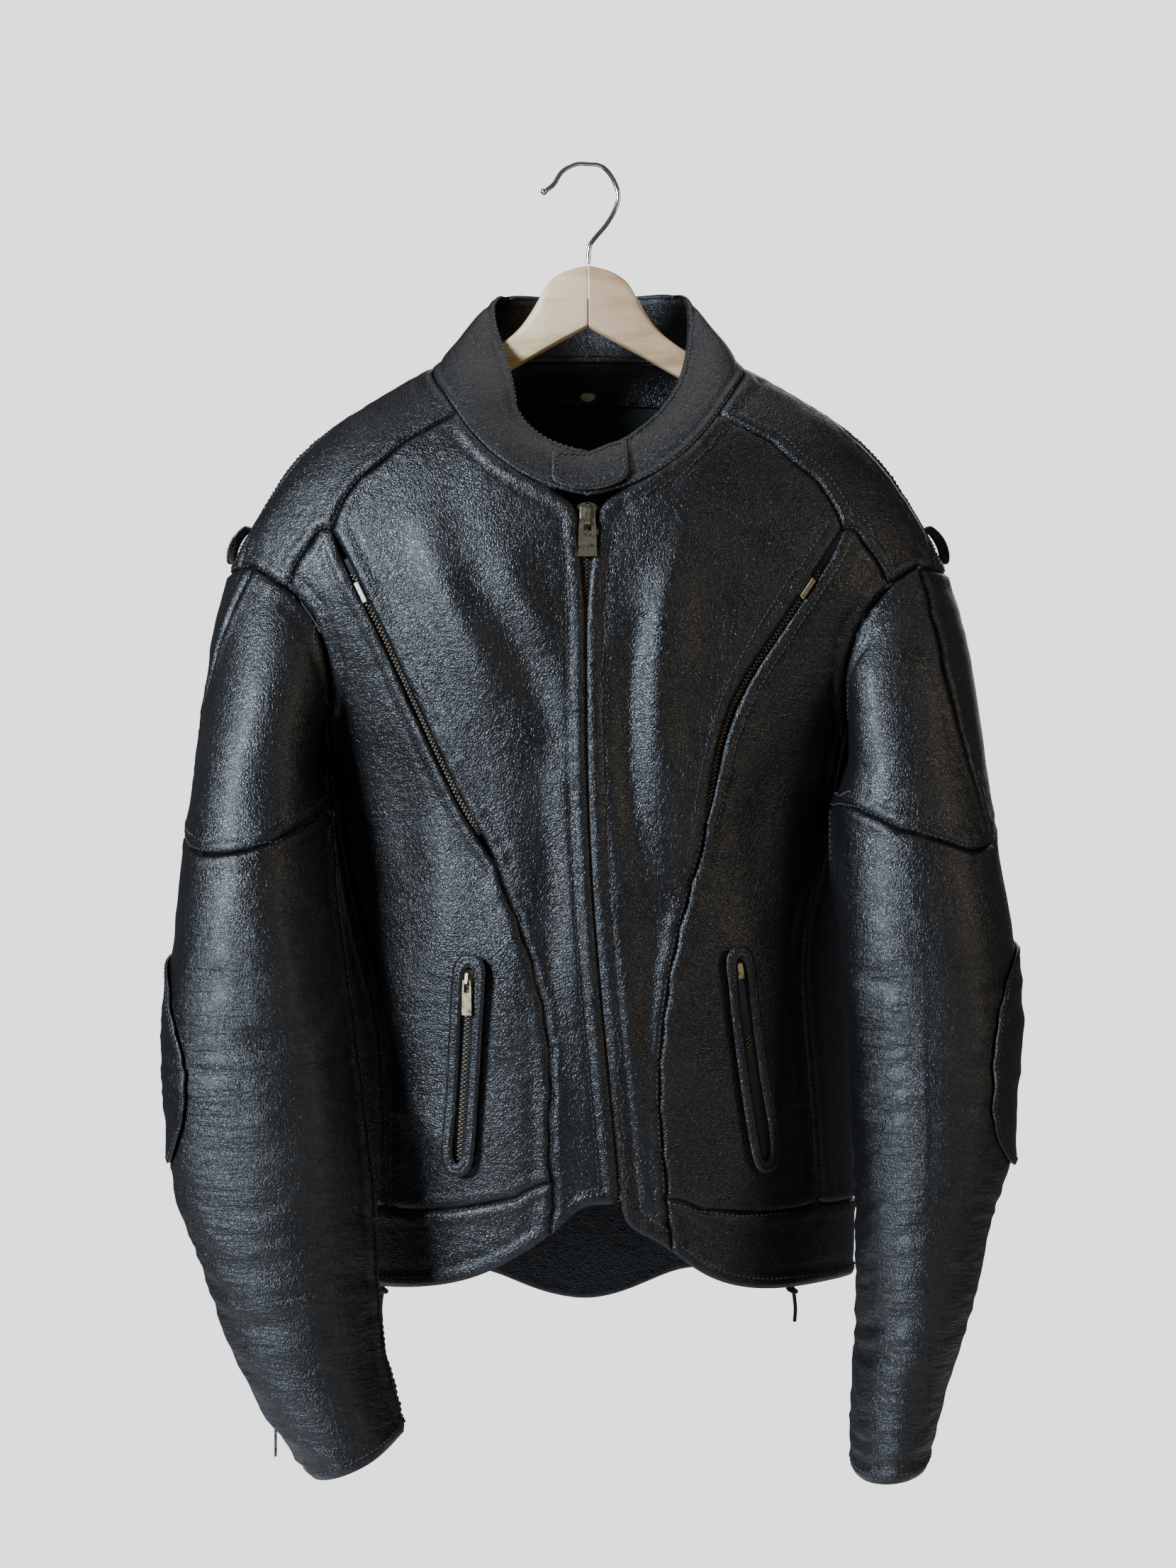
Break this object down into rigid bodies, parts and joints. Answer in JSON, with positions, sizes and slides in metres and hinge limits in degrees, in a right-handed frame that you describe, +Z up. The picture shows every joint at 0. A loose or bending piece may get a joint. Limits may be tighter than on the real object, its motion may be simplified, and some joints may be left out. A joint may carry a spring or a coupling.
{
  "type": "leather motorcycle jacket on a hanger",
  "caption": "Fitted long-sleeved leather motorcycle jacket with a stand collar, slanted zips, hand pockets and side lacing, hanging on a wooden hanger.",
  "frame": {"origin": "inner top of the hanger hook's bend, where it rests on a rail", "axes": "+Z up along the hook, -Y out of the jacket's front, +X to the viewer's right"},
  "size_m": [0.6154, 0.2399, 0.9424],
  "materials": {
    "leather": "grained, semi-gloss",
    "lining": "matt woven",
    "tape": "matt woven",
    "brass": "antique",
    "chrome": "polished",
    "wood": "satin varnish",
    "lace": "waxed cord"
  },
  "bodies": {
    "jacket": {"back": "leather", "back_hem_facing": "leather", "chest_slider_left": "brass", "chest_slider_right": "brass", "chest_zip_left": "tape", "chest_zip_right": "tape", "collar": "leather", "collar_tab": "leather", "cuff_slider_left": "brass", "cuff_slider_right": "brass", "cuff_zip_left": "tape", "cuff_zip_right": "tape", "elbow_patch_left": "leather", "elbow_patch_right": "leather", "front_center_left": "leather", "front_center_right": "leather", "front_side_left": "leather", "front_side_right": "leather", "hanger_arm_left": "wood", "hanger_arm_right": "wood", "hanger_hook": "chrome", "hem_band_back": "leather", "hem_band_left": "leather", "hem_band_right": "leather", "lace_knot_left": "lace", "lace_knot_right": "lace", "lace_left": "lace", "lace_right": "lace", "lace_tail_left": "lace", "lace_tail_right": "lace", "lining_back": "lining", "lower_sleeve_back_left": "leather", "lower_sleeve_back_right": "leather", "lower_sleeve_front_left": "leather", "lower_sleeve_front_right": "leather", "main_slider": "brass", "main_zip": "tape", "neck_facing": "leather", "neck_snap": "brass", "pocket_slider_left": "brass", "pocket_slider_right": "brass", "pocket_welt_left": "leather", "pocket_welt_right": "leather", "pocket_zip_left": "tape", "pocket_zip_right": "tape", "shoulder_loop_left": "leather", "shoulder_loop_right": "leather", "shoulder_strip_left": "leather", "shoulder_strip_right": "leather", "side_panel_left": "leather", "side_panel_right": "leather", "upper_sleeve_back_left": "leather", "upper_sleeve_back_right": "leather", "upper_sleeve_front_left": "leather", "upper_sleeve_front_right": "leather"},
    "main_pull": {"main_pull": "brass"},
    "pocket_pull": {"pocket_pull_left": "brass"},
    "cuff_pull": {"cuff_pull_left": "brass"}
  },
  "joints": [
    {"name": "main_pull_swing", "type": "hinge", "parent": "jacket", "child": "main_pull", "pos_m": [-0.00035, -0.0998, -0.26725], "axis": [-1, 0, 0], "range_deg": [0, 140]},
    {"name": "pocket_pull_swing", "type": "hinge", "parent": "jacket", "child": "pocket_pull", "pos_m": [-0.08499, -0.09971, -0.59128], "axis": [-0.9217, 0.3879, 0], "range_deg": [0, 130]},
    {"name": "cuff_pull_swing", "type": "hinge", "parent": "jacket", "child": "cuff_pull", "pos_m": [-0.21963, -0.09485, -0.90351], "axis": [0, 1, 0], "range_deg": [0, 120]}
  ]
}
